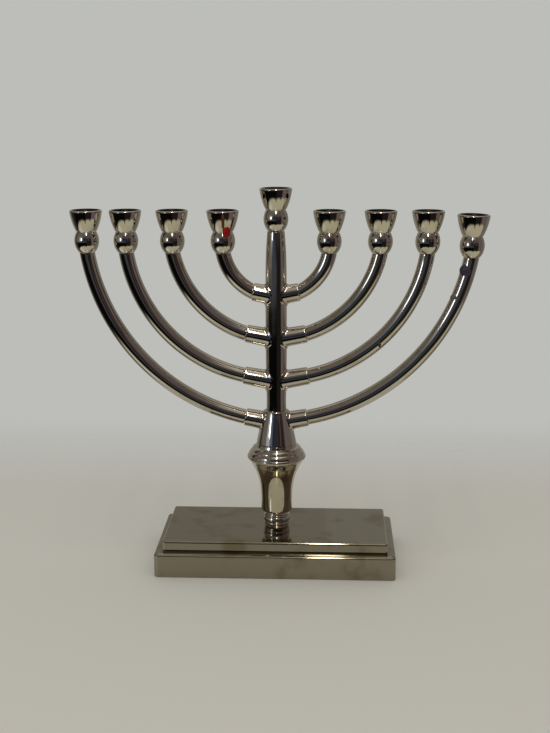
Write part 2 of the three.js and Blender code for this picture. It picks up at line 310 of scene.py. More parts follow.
class Outline:
    """Half of a turned piece's section: points of radius and height, in millimetres."""

    def __init__(self, radius: float, height: float) -> None:
        """Starts at a point."""
        self.points = [(radius, height)]

    def line(self, radius: float, height: float) -> "Outline":
        """Goes straight to a point and gives itself back."""
        self.points.append((radius, height))
        return self

    def arc(self, radius: float, height: float, bulge: float, steps: int = 8) -> "Outline":
        """Goes to a point along an arc.

        Args:
            radius: The point's distance from the axis.
            height: The point's height.
            bulge: How far the arc's middle stands off the straight line, to the right of the way it
                goes. On the way up, that is away from the axis.
            steps: The arc's number of straight steps.

        Returns:
            The outline itself.
        """
        start = Vector(self.points[-1])
        end = Vector((radius, height))
        chord = end - start
        out = Vector((chord.y, -chord.x)).normalized()
        reach = chord.length ** 2 / (8 * abs(bulge)) + abs(bulge) / 2
        centre = (start + end) / 2 + out * (bulge - math.copysign(reach, bulge))
        spoke = start - centre
        half = math.asin(min(1.0, chord.length / 2 / reach))
        sweep = 2 * (half if abs(bulge) <= reach else math.pi - half)
        for step in range(1, steps):
            turn = Matrix.Rotation(math.copysign(sweep, bulge) * step / steps, 2)
            self.points.append(tuple(centre + turn @ spoke))
        return self.line(radius, height)

    def arc_through(
        self, middle: tuple[float, float], end: tuple[float, float], steps: int = 22
    ) -> "Outline":
        """Goes to a point along the arc that runs through another.

        Args:
            middle: Radius and height of a point on the arc.
            end: Radius and height of the arc's end.
            steps: The arc's number of straight steps.

        Returns:
            The outline itself.
        """
        start = Vector(self.points[-1])
        to_middle = Vector(middle) - start
        to_end = Vector(end) - start
        twice_area = to_middle.x * to_end.y - to_middle.y * to_end.x
        beyond = (Vector(end) - Vector(middle)).length
        reach = (to_middle.length * to_end.length * beyond) / (2 * abs(twice_area))
        half = min(to_end.length / 2, reach)
        bulge = reach - math.sqrt(reach ** 2 - half ** 2)
        return self.arc(*end, math.copysign(bulge, twice_area), steps)

    def spin(self, sides: int, closed: bool = False) -> bmesh.types.BMesh:
        """Turns the outline about Z into a solid.

        Args:
            sides: The solid's number of sides.
            closed: Whether the outline closes on itself, as on a bored piece. It otherwise starts and
                ends on the axis.

        Returns:
            The solid, in metres, with its faces pointing out.
        """
        bm = bmesh.new()
        verts = [bm.verts.new((radius * MM, 0, height * MM)) for radius, height in self.points]
        edges = [bm.edges.new(pair) for pair in zip(verts, verts[1:])]
        if closed:
            edges.append(bm.edges.new((verts[-1], verts[0])))
        bmesh.ops.spin(
            bm, geom=verts + edges, cent=(0, 0, 0), axis=(0, 0, 1), angle=2 * math.pi, steps=sides,
            use_merge=True, use_duplicate=False,
        )
        bmesh.ops.remove_doubles(bm, verts=bm.verts, dist=TOUCH)
        bmesh.ops.dissolve_degenerate(bm, edges=bm.edges, dist=TOUCH / 2)
        bmesh.ops.recalc_face_normals(bm, faces=bm.faces)
        return bm


# Pieces


def break_edges(bm: bmesh.types.BMesh, width: float, segments: int = 3, least_angle: float = 38.0) -> None:
    """Rounds every edge of a mesh that is sharper than an angle, as a buffing wheel does.

    Args:
        bm: The mesh.
        width: The rounding's width in millimetres.
        segments: The rounding's number of steps.
        least_angle: The angle between faces, in degrees, from which an edge is rounded.
    """
    sharp = [e for e in bm.edges if e.is_manifold and e.calc_face_angle() > math.radians(least_angle)]
    bmesh.ops.bevel(
        bm, geom=sharp, offset=width * MM, offset_type="OFFSET", affect="EDGES", segments=segments,
        profile=0.5, material=-1, clamp_overlap=True, loop_slide=True,
    )


def make_piece(
    name: str,
    bm: bmesh.types.BMesh,
    materials: list[bpy.types.Material],
    replaced: tuple[str, ...],
    place: Matrix | None = None,
    crease: float = 32.0,
) -> bpy.types.Object:
    """Makes an object of a mesh, puts it on the body and shades it.

    Args:
        name: The object's name.
        bm: The mesh, in metres. It is freed.
        materials: What the piece is made of, in the order of its faces' material numbers.
        replaced: The nodes that it stands for.
        place: Where it goes, or None where it already is there.
        crease: The angle between faces, in degrees, from which an edge stays sharp.

    Returns:
        The object.
    """
    if place is not None:
        bmesh.ops.transform(bm, matrix=place, verts=bm.verts)
    for face in bm.faces:
        face.smooth = True
    for edge in bm.edges:
        edge.smooth = not edge.is_manifold or edge.calc_face_angle() < math.radians(crease)
    mesh = bpy.data.meshes.new(name)
    bm.to_mesh(mesh)
    bm.free()
    for material in materials:
        mesh.materials.append(material)
    piece = bpy.data.objects.new(name, mesh)
    bpy.context.scene.collection.objects.link(piece)
    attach(piece, BODY)
    if replaced:
        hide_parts(*replaced)
    log.info("%s: %d faces, stands for %s", name, len(mesh.polygons), ", ".join(replaced) or "nothing")
    return piece


# Base


@dataclass
class Base:
    """The hollow plinth and the flat tier on it.

    Each edge is its rounding's width and height, and each slope its inset, width and rise.
    """

    metal: bpy.types.Material
    width: float = 136.5
    depth: float = 66.5
    plinth_height: float = 13.4
    wall: float = 3.0
    roof: float = 3.0
    ledge: float = 4.5
    tier_height: float = 6.7
    plinth_corner: float = 2.4
    tier_corner: float = 1.4
    plinth_edge: tuple[float, float] = (1.0, 1.0)
    tier_edge: tuple[float, float] = (1.35, 1.35)
    foot_edge: tuple[float, float] = (0.3, 0.3)
    slopes: tuple[tuple[float, float, float], ...] = ((0.9, 2.2, 0.93), (3.15, 1.25, 0.12))
    slope_sunk: float = 0.4
    slope_line: float = 0.05
    hole_radius: float = 3.3
    corner_steps: int = 8
    edge_steps: int = 7
    hole_steps: int = 24

    @property
    def top(self) -> float:
        """Height of the tier's top face."""
        return self.plinth_height + self.tier_height

    def build(self) -> None:
        """Builds the plinth, two slopes round the tier's foot with a fine line between, and the tier."""
        plinth = self._block(0, 0, self.plinth_height, self.plinth_corner, self.plinth_edge)
        ceiling = self._hollow(plinth)
        self._pierce(plinth, ceiling, self.plinth_height)
        blocks = [make_piece("plinth_shell", plinth, [self.metal], ("base_plinth",))]
        top = self.plinth_height
        for number, (inset, width, rise) in enumerate(self.slopes, start=1):
            bottom = top - self.slope_sunk
            top += rise + self.slope_line
            slope = self._block(inset, bottom, top, self.plinth_corner, (width, rise), straight=True)
            self._pierce(slope, bottom, top)
            blocks.append(make_piece(f"tier_slope_{number}", slope, [self.metal], ()))
        tier = self._block(self.ledge, self.plinth_height, self.top, self.tier_corner, self.tier_edge)
        self._pierce(tier, self.plinth_height, self.top)
        blocks.append(make_piece("tier_block", tier, [self.metal], ("base_tier",)))
        for block in blocks:
            shading = block.modifiers.new("flat faces stay flat", "WEIGHTED_NORMAL")
            shading.keep_sharp = True

    def _block(
        self, inset: float, bottom: float, top: float, corner: float, edge: tuple[float, float],
        straight: bool = False,
    ) -> bmesh.types.BMesh:
        """Makes a block with round upright corners, a round upper edge and a crisp lower one.

        Args:
            inset: How far its sides stand in from the plinth's.
            bottom: Height of its lower face.
            top: Height of its upper face.
            corner: Radius of its upright corners.
            edge: Width and height of its upper edge's rounding.
            straight: Whether that edge is a straight slope, over a lower edge that is left sharp.

        Returns:
            The block.
        """
        bm = bmesh.new()
        bmesh.ops.create_cube(bm, size=1)
        size = Vector((self.width - 2 * inset, self.depth - 2 * inset, top - bottom)) * MM
        bmesh.ops.scale(bm, vec=size, verts=bm.verts)
        bmesh.ops.translate(bm, vec=(0, 0, (top + bottom) / 2 * MM), verts=bm.verts)
        upright = [e for e in bm.edges if abs(e.verts[0].co.z - e.verts[1].co.z) > size.z / 2]
        self._round(bm, upright, (corner, corner), self.corner_steps)
        roundings = [(top, edge, 1)] if straight else [
            (top, edge, self.edge_steps), (bottom, self.foot_edge, self.edge_steps),
        ]
        for height, rounding, steps in roundings:
            level = [e for e in bm.edges if all(abs(v.co.z - height * MM) < TOUCH for v in e.verts)]
            self._round(bm, level, rounding, steps)
        return bm

    @staticmethod
    def _round(bm: bmesh.types.BMesh, edges: list, rounding: tuple[float, float], steps: int) -> None:
        """Rounds edges of a block.

        Args:
            bm: The block.
            edges: The edges.
            rounding: The rounding's width and height in millimetres. The block is stretched in height
                for the bevel and set back after it, which makes the rounding an ellipse's quarter.
            steps: Its number of steps.
        """
        width, height = rounding
        bmesh.ops.scale(bm, vec=(1, 1, width / height), verts=bm.verts)
        bmesh.ops.bevel(
            bm, geom=edges, offset=width * MM, offset_type="OFFSET", affect="EDGES", segments=steps,
            profile=0.5, material=-1, clamp_overlap=True,
        )
        bmesh.ops.scale(bm, vec=(1, 1, height / width), verts=bm.verts)

    def _hollow(self, bm: bmesh.types.BMesh) -> float:
        """Hollows the plinth from below.

        Args:
            bm: The plinth.

        Returns:
            Height of the ceiling inside.
        """
        ceiling = self.plinth_height - self.roof
        under = min(bm.faces, key=lambda f: f.calc_center_median().z)
        flat_wall = (self.wall - self.foot_edge[0]) * MM
        bmesh.ops.inset_region(bm, faces=[under], thickness=flat_wall, use_even_offset=True)
        raised = bmesh.ops.extrude_discrete_faces(bm, faces=[under])["faces"]
        bmesh.ops.translate(bm, vec=(0, 0, ceiling * MM), verts=raised[0].verts)
        return ceiling

    def _pierce(self, bm: bmesh.types.BMesh, bottom: float, top: float) -> None:
        """Cuts the rod's hole through a plate.

        Args:
            bm: The block.
            bottom: Height of the face where the hole starts.
            top: Height of the face where it ends.
        """
        rings = []
        for height in (bottom, top):
            level = [f for f in bm.faces if abs(f.calc_center_median().z - height * MM) < TOUCH]
            face = max(level, key=lambda f: f.calc_area())
            outer = list(face.edges)
            bmesh.ops.delete(bm, geom=[face], context="FACES_ONLY")
            ring = bmesh.ops.create_circle(
                bm, cap_ends=False, radius=self.hole_radius * MM, segments=self.hole_steps,
                matrix=Matrix.Translation((0, 0, height * MM)),
            )["verts"]
            inner = list({e for v in ring for e in v.link_edges})
            bmesh.ops.triangle_fill(bm, edges=outer + inner, use_beauty=True, normal=UP)
            rings += inner
        bmesh.ops.bridge_loops(bm, edges=rings)
        bmesh.ops.recalc_face_normals(bm, faces=bm.faces)


# Column


@dataclass
class Column:
    """The turned pieces from the base up to the top of the shaft."""

    metal: bpy.types.Material
    worn_metal: bpy.types.Material
    foot_start: float
    foot_height: float = 7.6
    vase_height: float = 29.5
    collar_height: float = 13.2
    hub_height: float = 19.5
    shaft_height: float = 102.4
    bore_radius: float = 3.3
    rod_into_shaft: float = 12.3
    stud_hole_radius: float = 1.8
    stud_hole_depth: float = 5.2
    edge_width: float = 0.16
    sides: int = 128

    @property
    def vase_start(self) -> float:
        """Height of the vase's lower end."""
        return self.foot_start + self.foot_height

    @property
    def collar_start(self) -> float:
        """Height of the collar's lower end."""
        return self.vase_start + self.vase_height

    @property
    def hub_start(self) -> float:
        """Height of the hub's lower end."""
        return self.collar_start + self.collar_height

    @property
    def shaft_start(self) -> float:
        """Height of the shaft's lower end."""
        return self.hub_start + self.hub_height

    @property
    def shaft_top(self) -> float:
        """Height of the shaft's upper end."""
        return self.shaft_start + self.shaft_height

    def build(self, sockets: "Sockets") -> None:
        """Builds the foot, the vase, the collar, the hub and the shaft.

        Args:
            sockets: The stubs cast on the hub and the shaft.
        """
        outlines = {
            "foot_ring": self._foot_outline(),
            "vase_column": self._vase_outline(),
            "knop_collar": self._collar_outline(),
            "cone_hub": self._hub_outline(),
            "main_shaft": self._shaft_outline(),
        }
        finishes = {"vase_column": self.worn_metal}
        pairs = {"cone_hub": (3,), "main_shaft": (0, 1, 2)}
        for node, outline in outlines.items():
            bm = self._turned(outline, bored=node != "main_shaft")
            sockets.cast_on(bm, pairs.get(node, ()))
            make_piece(f"{node}_metal", bm, [finishes.get(node, self.metal)], (node,))

    def _turned(self, outline: Outline, bored: bool) -> bmesh.types.BMesh:
        """Turns an outline.

        Args:
            outline: The piece's outside, or all of it where it isn't bored.
            bored: Whether the rod's bore runs through the piece.

        Returns:
            The piece's mesh.
        """
        if bored:
            bottom, top = outline.points[0][1], outline.points[-1][1]
            outline.line(self.bore_radius, top).line(self.bore_radius, bottom)
        bm = outline.spin(self.sides, closed=bored)
        break_edges(bm, self.edge_width)
        return bm

    def _foot_outline(self) -> Outline:
        """A bead that narrows to the base, a taller bead and a thin ring, with a groove between them."""
        z = self.foot_start
        return (
            Outline(6.7, z).arc(7.5, z + 2.6, 0.16, 8).line(7.25, z + 2.85)
            .line(7.4, z + 3.05).arc(7.45, z + 6.1, 0.38, 14).line(7.2, z + 6.3)
            .line(7.4, z + 6.45).arc(7.3, z + 7.3, 0.12, 6).line(7.15, z + self.foot_height)
        )

    def _vase_outline(self) -> Outline:
        """A narrow neck under a round heel, a slender body and a mouth that flares ever faster."""
        heel_height, body, mouth, power, steps = 2.7, 8.95, 13.7, 3.3, 36
        z = self.vase_start
        start = z + heel_height
        rise = self.vase_height - heel_height
        outline = Outline(6.9, z).line(6.35, z + 0.95).arc(7.7, z + 1.75, -0.22, 6).line(8.4, z + 1.9)
        outline.arc(body, start, 0.14, 5)
        for i in range(1, steps + 1):
            outline.line(body + (mouth - body) * (i / steps) ** power, start + rise * i / steps)
        return outline

    def _collar_outline(self) -> Outline:
        """A swell up to the widest ring, two more rings behind fine grooves, and the foot of the cone."""
        z = self.collar_start
        return (
            Outline(13.7, z).line(15.4, z + 3.1).line(16.1, z + 3.85).arc(16.6, z + 4.6, 0.1, 5)
            .line(16.6, z + 4.75).line(16.75, z + 4.85).arc(16.3, z + 6.3, 0.27, 8).line(16.1, z + 6.4)
            .arc(14.75, z + 8.9, 0.32, 10).line(14.4, z + 9.05).line(14.45, z + 9.2)
            .arc(12.0, z + 11.45, 0.5, 12).line(11.8, z + 11.6).line(11.5, z + self.collar_height)
        )

    def _hub_outline(self) -> Outline:
        """A cone that swells a little, with a round shoulder under the shaft."""
        z, top = self.hub_start, self.hub_start + self.hub_height
        return Outline(11.45, z).arc(6.95, top - 0.9, 0.27, 24).arc(6.2, top, 0.26, 6)

    def _shaft_outline(self) -> Outline:
        """The rod's blind hole, a short waist, a long straight length, a tapered top and a stud's hole."""
        z, top = self.shaft_start, self.shaft_top
        hole_top = z + self.rod_into_shaft
        floor = top - self.stud_hole_depth
        return (
            Outline(0, hole_top).line(self.bore_radius, hole_top).line(self.bore_radius, z)
            .line(5.7, z).arc(5.55, z + 7.2, -0.04, 8).arc(6.0, z + 50, 0.16, 16)
            .arc(5.9, z + 81, 0.04, 10).arc(4.85, top - 0.3, 0.2, 18).arc(4.6, top, 0.08, 3)
            .line(self.stud_hole_radius, top).line(self.stud_hole_radius, floor).line(0, floor)
        )


# Sockets


@dataclass
class Sockets:
    """The short stubs cast on the hub and the shaft, with a blind bore for each arm's spigot.

    Pairs are numbered from 0 for the highest. The fillet swells only what lies outside core_share of
    a stub's radius, and the stem's radius is read off the vertices within front_angle of its front.
    """

    column: Column
    hub_drop: float = 7.65
    pitch: float = 24.55
    rise_degrees: float = 10.5
    reaches: tuple[float, ...] = (13.0, 17.0, 18.4, 17.8)
    root_radius: float = 5.5
    mouth_radius: float = 5.0
    lip: float = 0.55
    lip_bulge_share: float = 0.29
    fillet: float = 1.5
    core_share: float = 0.9
    front_angle: float = 0.06
    bore_radius: float = 3.0
    bore_depth: float = 6.3
    start: float = 2.2
    sides: int = 64
    rings: int = 26

    @property
    def rise(self) -> float:
        """Slope of a socket's axis, in radians."""
        return math.radians(self.rise_degrees)

    def level(self, index: int) -> float:
        """Height where a pair's axes cross the stem's, in millimetres."""
        return self.column.shaft_start - self.hub_drop + self.pitch * (len(self.reaches) - 1 - index)

    def mouth_distance(self, index: int) -> float:
        """Distance from the stem's axis to a socket's mouth, along the socket."""
        return self.reaches[index] / math.cos(self.rise)

    def along(self, index: int, side: Side) -> Matrix:
        """Turns what stands on the origin along Z to lie along a socket's axis."""
        raised = Matrix.Translation((0, 0, self.level(index) * MM))
        return side.turn @ raised @ Matrix.Rotation(math.pi / 2 - self.rise, 4, "Y")

    def cast_on(self, bm: bmesh.types.BMesh, indexes: tuple[int, ...]) -> None:
        """Adds pairs of stubs to the hub or the shaft.

        Args:
            bm: The hub's or the shaft's mesh.
            indexes: The pairs' numbers.
        """
        for index in indexes:
            for side in Side:
                stub = self._stub(index)
                self._flare_root(stub, bm, self.along(index, side))
                scratch = bpy.data.meshes.new("stub")
                stub.to_mesh(scratch)
                stub.free()
                bm.from_mesh(scratch)
                bpy.data.meshes.remove(scratch)

    def _stub(self, index: int) -> bmesh.types.BMesh:
        """Turns one stub, standing on the origin along Z.

        Args:
            index: The pair's number.

        Returns:
            The stub, with close rings so that its root can be flared.
        """
        mouth = self.mouth_distance(index)
        run = mouth - self.lip - self.start
        slope = (self.mouth_radius - self.root_radius) / (mouth - self.lip)
        outline = Outline(0, self.start)
        for ring in range(self.rings + 1):
            height = self.start + run * ring / self.rings
            outline.line(self.root_radius + slope * height, height)
        floor = mouth - self.bore_depth
        outline.arc(self.mouth_radius - self.lip, mouth, self.lip * self.lip_bulge_share, 5)
        outline.line(self.bore_radius, mouth).line(self.bore_radius, floor).line(0, floor)
        return outline.spin(self.sides)

    def _flare_root(self, stub: bmesh.types.BMesh, carrier: bmesh.types.BMesh, place: Matrix) -> None:
        """Puts a stub in its place and swells its root into the cast fillet.

        Args:
            stub: The stub, standing on the origin.
            carrier: The hub's or the shaft's mesh, which gives the radius at each height.
            place: The stub's place.
        """
        rims = sorted(
            (v.co.z, math.hypot(v.co.x, v.co.y)) for v in carrier.verts
            if abs(math.atan2(v.co.y, abs(v.co.x)) - math.pi / 2) < self.front_angle
        )
        bmesh.ops.transform(stub, matrix=place, verts=stub.verts)
        axis = (place.to_3x3() @ UP).normalized()
        for vert in stub.verts:
            offset = vert.co - place.translation
            out = offset - axis * offset.dot(axis)
            if out.length < self.mouth_radius * self.core_share * MM:
                continue
            carrier_radius = min(rims, key=lambda rim: abs(rim[0] - vert.co.z))[1]
            gap = math.hypot(vert.co.x, vert.co.y) - carrier_radius
            reach = self.fillet * MM * abs(out.normalized().z)
            if gap >= reach or reach <= 0:
                continue
            short = min(1.0, (reach - max(gap, 0.0)) / reach)
            swell = reach * (1 - math.sqrt(max(0.0, 1 - short * short)))
            vert.co += out.normalized() * swell


# Arms


@dataclass
class Arms:
    """The eight bent rods, from the innermost pair to the outermost.

    A rod is bent longer than it has to be, by overrun times its radius at each end, and then cut. A
    cut takes only what lies within cut_reach of it. An end's face is known by a normal that has at
    least end_facing of its length along the way out.
    """

    metal: bpy.types.Material
    sockets: Sockets
    radius: float = 4.25
    first_cup_reach: float = 29.5
    cup_spacings: tuple[float, ...] = (28.2, 26.0, 22.0)
    bulge_shares: tuple[float, ...] = (0.119, 0.1354, 0.15735, 0.1555)
    cup_rise: float = 24.5
    outer_right_sag_degrees: float = 1.35
    seat_gap: float = 0.3
    spigot_radius: float = 2.7
    spigot_length: float = 6.0
    stud_hole_radius: float = 1.8
    stud_hole_depth: float = 5.2
    edge_width: float = 0.22
    overrun: float = 2.0
    cut_reach: float = 25.0
    end_facing: float = 0.999
    first_inset: float = 0.4
    sides: int = 64
    ring_spacing: float = 1.1

    @property
    def labelled(self) -> list[tuple[str, int, Side]]:
        """Each arm's label, its pair's number and its side."""
        return [(f"{side.label}_{i + 1}", i, side) for side in Side for i in range(len(self.bulge_shares))]

    def mouth(self, index: int) -> Vector:
        """Middle of the right socket's mouth, in millimetres."""
        reach = self.sockets.reaches[index]
        return Vector((reach, 0, self.sockets.level(index) + reach * math.tan(self.sockets.rise)))

    def seat(self, index: int) -> Vector:
        """Middle of the seat of the right cup, in millimetres, before any sag."""
        reach = self.first_cup_reach + sum(self.cup_spacings[:index])
        return Vector((reach, 0, self.sockets.level(0) + self.cup_rise))

    def place(self, index: int, side: Side) -> Matrix:
        """Carries an arm and its cup from the plain right side to their own place.

        Args:
            index: The pair's number.
            side: The arm's side.

        Returns:
            The matrix, in metres: the side's turn, and the sag about the socket's mouth.
        """
        bent = side is Side.RIGHT and index == len(self.bulge_shares) - 1
        sag = math.radians(self.outer_right_sag_degrees) if bent else 0.0
        pivot = Matrix.Translation(self.mouth(index) * MM)
        return side.turn @ pivot @ Matrix.Rotation(sag, 4, "Y") @ pivot.inverted()

    def cup_places(self) -> dict[str, Matrix]:
        """Finds where all the cups stand.

        Returns:
            Each cup's label and the place of its seat, in metres.
        """
        top = self.sockets.column.shaft_top + self.seat_gap
        places = {"shamash": Matrix.Translation((0, 0, top * MM))}
        for label, index, side in self.labelled:
            places[label] = self.place(index, side) @ Matrix.Translation(self.seat(index) * MM)
        return places

    def build(self) -> None:
        """Builds all the arms."""
        for label, index, side in self.labelled:
            make_piece(
                f"bent_arm_{label}", self._arm(index), [self.metal], (f"arm_{label}",),
                self.place(index, side),
            )

    def _arm(self, index: int) -> bmesh.types.BMesh:
        """Bends one arm of the right side.

        Args:
            index: The arm's number.

        Returns:
            The arm with its spigot and the hole for its cup's stud.
        """
        mouth, seat = self.mouth(index), self.seat(index)
        chord = seat - mouth
        bulge = self.bulge_shares[index] * chord.length
        bend = bulge / 2 + chord.length_squared / (8 * bulge)
        inward = Vector((-chord.z, 0, chord.x)).normalized()
        centre = (mouth + seat) / 2 + inward * (bend - bulge)
        extra = self.overrun * self.radius / bend
        first = math.atan2(mouth.z - centre.z, mouth.x - centre.x) - extra
        last = math.atan2(seat.z - centre.z, seat.x - centre.x) + extra
        bm = bmesh.new()
        start = Matrix.Translation(centre * MM) @ Matrix.Rotation(-first, 4, "Y")
        ring = bmesh.ops.create_circle(
            bm, cap_ends=True, radius=self.radius * MM, segments=self.sides,
            matrix=start @ Matrix.Translation((bend * MM, 0, 0)),
        )["verts"]
        bmesh.ops.spin(
            bm, geom=bm.faces[:] + bm.edges[:] + ring, cent=centre * MM, axis=(0, -1, 0), angle=last - first,
            steps=round(bend * (last - first) / self.ring_spacing), use_merge=False, use_duplicate=False,
        )
        bmesh.ops.recalc_face_normals(bm, faces=bm.faces)
        along = Vector((math.cos(self.sockets.rise), 0, math.sin(self.sockets.rise)))
        self._cut(bm, (mouth + along * self.seat_gap) * MM, -along)
        self._draw_end(bm, -along, self.spigot_radius, self.spigot_length + self.seat_gap)
        self._cut(bm, (seat - UP * self.seat_gap) * MM, UP)
        self._draw_end(bm, UP, self.stud_hole_radius, -self.stud_hole_depth)
        break_edges(bm, self.edge_width)
        return bm

    def _cut(self, bm: bmesh.types.BMesh, point: Vector, outward: Vector) -> None:
        """Cuts an end off square and closes it.

        Args:
            bm: The arm.
            point: A point of the cut, in metres.
            outward: The way out of the end.
        """
        nearby = [v for v in bm.verts if (v.co - point).length < self.cut_reach * MM]
        faces = {f for v in nearby for f in v.link_faces}
        edges = {e for f in faces for e in f.edges}
        verts = {v for f in faces for v in f.verts}
        bmesh.ops.bisect_plane(
            bm, geom=[*faces, *edges, *verts], dist=TOUCH / 10, plane_co=point, plane_no=outward,
            clear_outer=True,
        )
        bmesh.ops.holes_fill(bm, edges=[e for e in bm.edges if e.is_boundary], sides=0)
        bmesh.ops.recalc_face_normals(bm, faces=bm.faces)

    def _draw_end(self, bm: bmesh.types.BMesh, outward: Vector, radius: float, length: float) -> None:
        """Draws a round spigot out of an end, or sinks a round hole into it.

        Args:
            bm: The arm.
            outward: The way out of the end.
            radius: The spigot's or the hole's radius in millimetres.
            length: How far it goes out, or in where negative.
        """
        face = max(bm.faces, key=lambda f: (f.normal.dot(outward) > self.end_facing, f.calc_area()))
        bmesh.ops.inset_region(bm, faces=[face], thickness=self.first_inset * MM, use_even_offset=True)
        middle = face.calc_center_median()
        for vert in face.verts:
            vert.co = middle + (vert.co - middle).normalized() * radius * MM
        drawn = bmesh.ops.extrude_discrete_faces(bm, faces=[face])["faces"][0]
        bmesh.ops.translate(bm, vec=outward * length * MM, verts=drawn.verts)


# Cups


@dataclass
class Cups:
    """The nine candle cups, each a ball, a neck and a flared bowl turned from one bar.

    The well's faces get the lining, painted dark for soot and for the shade in the deep well.
    They are looked for inside the chamfer and above the well's floor, with lining_margin to spare.
    """

    metal: bpy.types.Material
    lining: bpy.types.Material
    height: float = 23.4
    foot_radius: float = 4.5
    ball_radius: float = 6.85
    ball_middle: float = 6.8
    neck_radius: float = 5.4
    neck_height: float = 11.5
    neck_step: tuple[float, float] = (0.5, 0.55)
    bowl_radius: float = 7.9
    bowl_middle: float = 17.3
    rim_radius: float = 9.0
    rim_band: float = 0.7
    rim_bulge: float = 0.2
    chamfer_radius: float = 7.8
    chamfer_depth: float = 0.9
    chamfer_bulge: float = 0.1
    well_mouth_radius: float = 6.75
    well_floor_radius: float = 4.9
    well_depth: float = 9.6
    lining_margin: tuple[float, float] = (0.05, 0.1)
    hole_radius: float = 1.8
    hole_depth: float = 5.5
    edge_width: float = 0.14
    edge_angle: float = 50.0
    sides: int = 96

    def build(self, places: dict[str, Matrix]) -> None:
        """Builds all the cups.

        Args:
            places: Each cup's label and the place of its seat, in metres.
        """
        finishes = [self.metal, self.lining]
        for label, place in places.items():
            make_piece(f"turned_cup_{label}", self._cup(), finishes, (f"cup_{label}",), place)

    def _cup(self) -> bmesh.types.BMesh:
        """Turns one cup.

        Returns:
            The cup, standing on the origin.
        """
        top = self.height
        floor = top - self.well_depth
        neck_out, neck_up = self.neck_step
        outline = (
            Outline(0, self.hole_depth).line(self.hole_radius, self.hole_depth).line(self.hole_radius, 0)
            .line(self.foot_radius, 0)
            .arc_through((self.ball_radius, self.ball_middle), (self.neck_radius, self.neck_height))
            .line(self.neck_radius + neck_out, self.neck_height + neck_up)
            .arc_through((self.bowl_radius, self.bowl_middle), (self.rim_radius, top - self.rim_band))
            .arc(self.rim_radius - self.rim_band, top, self.rim_bulge, 8)
            .line(self.chamfer_radius, top)
            .arc(self.well_mouth_radius, top - self.chamfer_depth, self.chamfer_bulge, 4)
            .line(self.well_floor_radius, floor).line(0, floor)
        )
        bm = outline.spin(self.sides)
        break_edges(bm, self.edge_width, least_angle=self.edge_angle)
        # The well's faces take the lining, painted dark for soot and for the shade inside the well.
        widest = (self.chamfer_radius + self.lining_margin[0]) * MM
        lowest = (floor - self.lining_margin[1]) * MM
        for face in bm.faces:
            middle = face.calc_center_median()
            outward = Vector((middle.x, middle.y, 0))
            if outward.length < widest and middle.z > lowest and face.normal.dot(outward) < TOUCH:
                face.material_index = 1
        return bm


# Wax


@dataclass(frozen=True)
class WaxDrop:
    """A run or a speck of wax that has set on the metal: its middle, its size and its lean."""

    name: str
    middle: tuple[float, float, float]
    size: tuple[float, float, float]
    lean_degrees: float
    slope_degrees: float
    finish: WaxFinish


# The wax that the last candles left: a red run below the bowl of one cup with a thin brown film over
# it, and smears on the arms.
WAX_DROPS = (
    WaxDrop("wax_run_red", (-26.9, -5.9, 192.5), (4.5, 2.8, 6.5), 24.0, 0.0, RED_WAX),
    WaxDrop("wax_film_brown", (-28.7, -7.55, 198.2), (2.4, 1.1, 9.6), 5.0, 16.0, BROWN_WAX),
    WaxDrop("wax_smear_purple", (105.0, -1.8, 171.0), (7.4, 6.6, 7.4), 8.0, 0.0, PURPLE_WAX),
    WaxDrop("wax_bead_clear", (99.2, -1.8, 156.1), (5.0, 5.0, 3.2), 0.0, 0.0, CLEAR_WAX),
    WaxDrop("wax_smear_brown", (57.9, -2.1, 129.7), (3.0, 5.0, 5.0), 0.0, 0.0, BROWN_WAX),
)


@dataclass
class WaxDrops:
    """Sets the drops of wax on the finished cups and arms."""

    drops: tuple[WaxDrop, ...] = WAX_DROPS
    segments: int = 24
    rings: int = 16

    def build(self) -> None:
        """Builds the drops, each a flattened ball sunk halfway into the metal."""
        for drop in self.drops:
            bm = bmesh.new()
            bmesh.ops.create_uvsphere(bm, u_segments=self.segments, v_segments=self.rings, radius=0.5)
            bmesh.ops.scale(bm, vec=Vector(drop.size) * MM, verts=bm.verts)
            turn = Matrix.Rotation(math.radians(drop.lean_degrees), 4, "Z")
            turn = turn @ Matrix.Rotation(math.radians(drop.slope_degrees), 4, "X")
            place = Matrix.Translation(Vector(drop.middle) * MM) @ turn
            make_piece(drop.name, bm, [drop.finish.build()], (), place)


# Fastenings


@dataclass
class Fastenings:
    """The rod, the washer, the nut and the studs, which keep their own solids."""

    steel: bpy.types.Material

    def dress(self, nodes: dict[str, bpy.types.Object]) -> None:
        """Gives each fastening its steel.

        Args:
            nodes: The frame's nodes by name.
        """
        for name, node in nodes.items():
            if name.startswith("stud_") or name in ("tie_rod", "clamp_washer", "clamp_nut"):
                node.data.materials.clear()
                node.data.materials.append(self.steel)
                log.info("%s: keeps its solid, in turned steel", name)


# Studio


